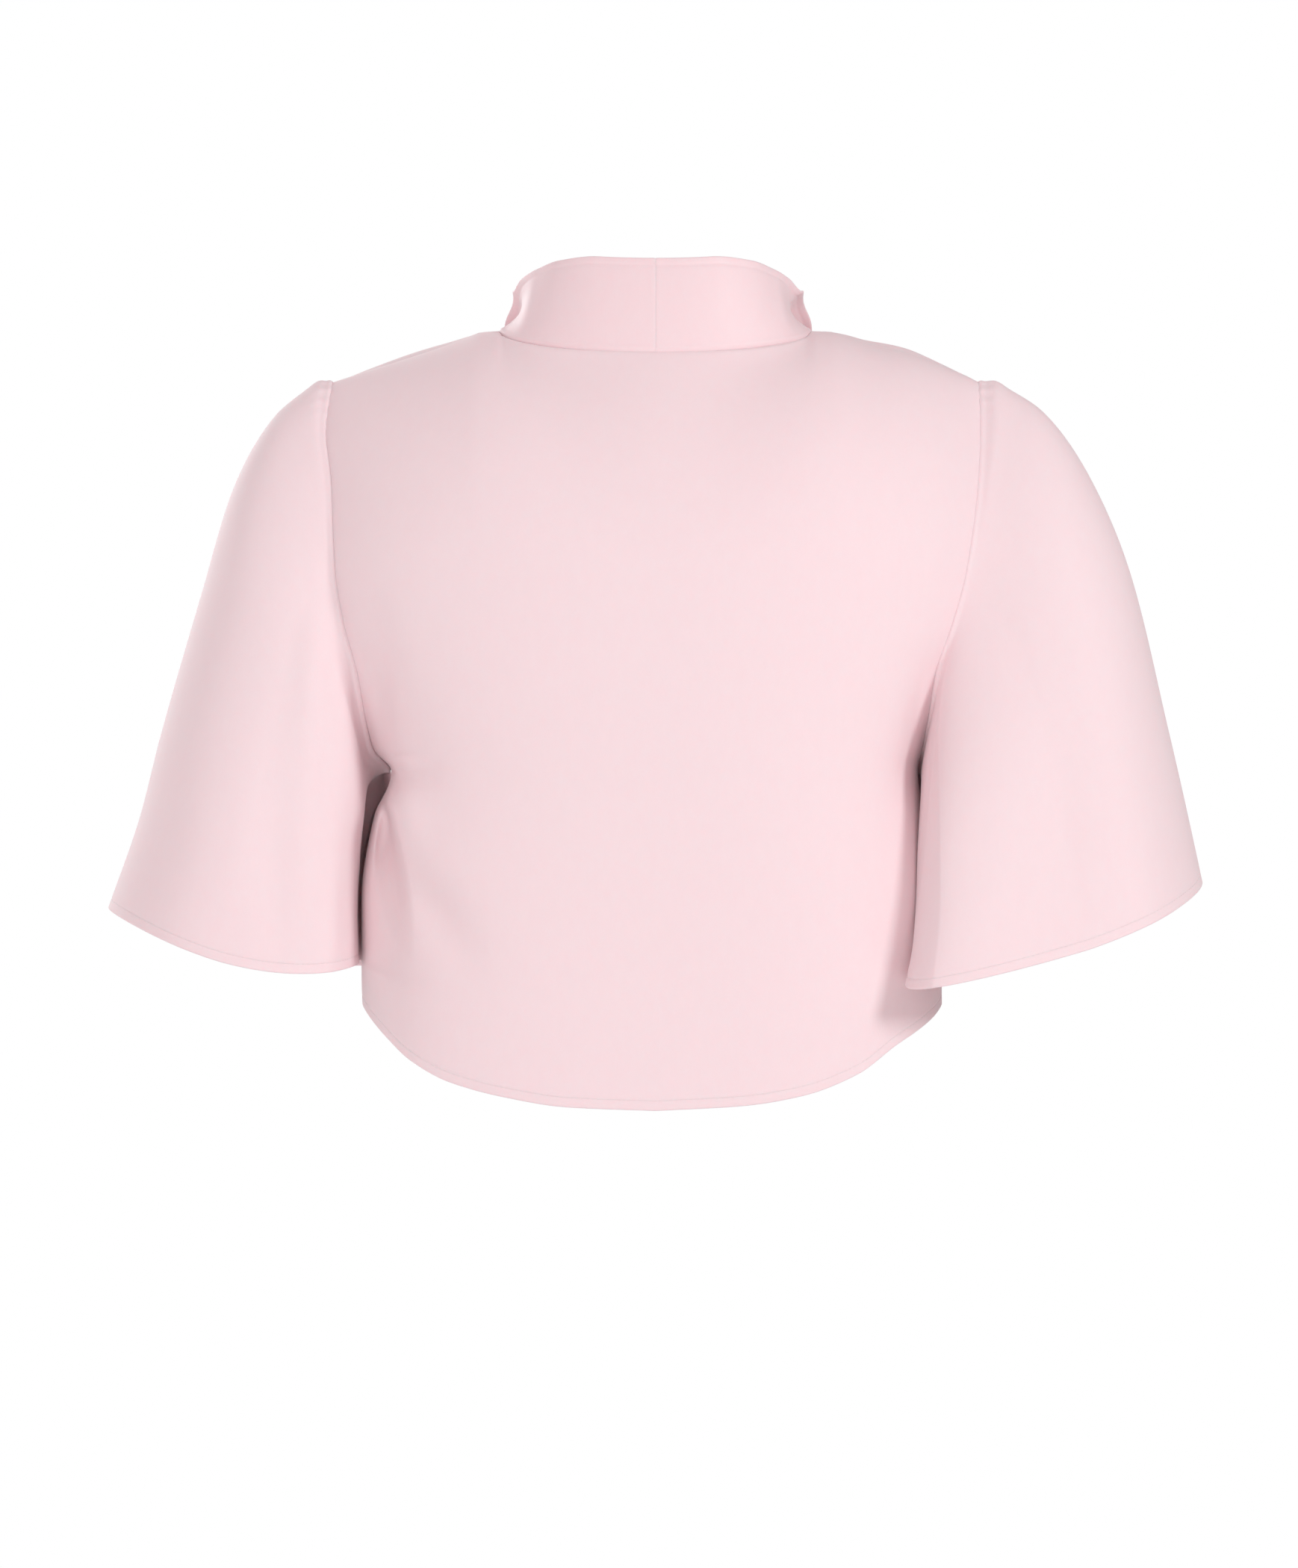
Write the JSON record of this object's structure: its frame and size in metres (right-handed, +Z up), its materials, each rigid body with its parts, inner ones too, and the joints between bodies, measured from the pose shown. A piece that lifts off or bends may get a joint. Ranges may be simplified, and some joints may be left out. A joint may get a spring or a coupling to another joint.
{
  "type": "cropped blazer",
  "caption": "Cropped open satin-crepe blazer with a standing shawl collar and wide elbow-length sleeves, filled out as worn.",
  "frame": {"origin": "middle of the neck opening, level with the points where the shoulder seams meet the collar", "axes": "+Z up, +X to the wearer's left, the wearer faces -Y and the back of the garment faces +Y"},
  "size_m": [0.651, 0.2423, 0.4981],
  "materials": {
    "crepe": "satin-backed crepe, soft sheen, fine pebbled grain",
    "collar_crepe": "the same satin-backed crepe in a double layer"
  },
  "bodies": {
    "root": {"back": "crepe", "front_left": "crepe", "front_right": "crepe", "sleeve_left": "crepe", "sleeve_right": "crepe", "collar_left": "collar_crepe", "collar_right": "collar_crepe"}
  },
  "joints": []
}
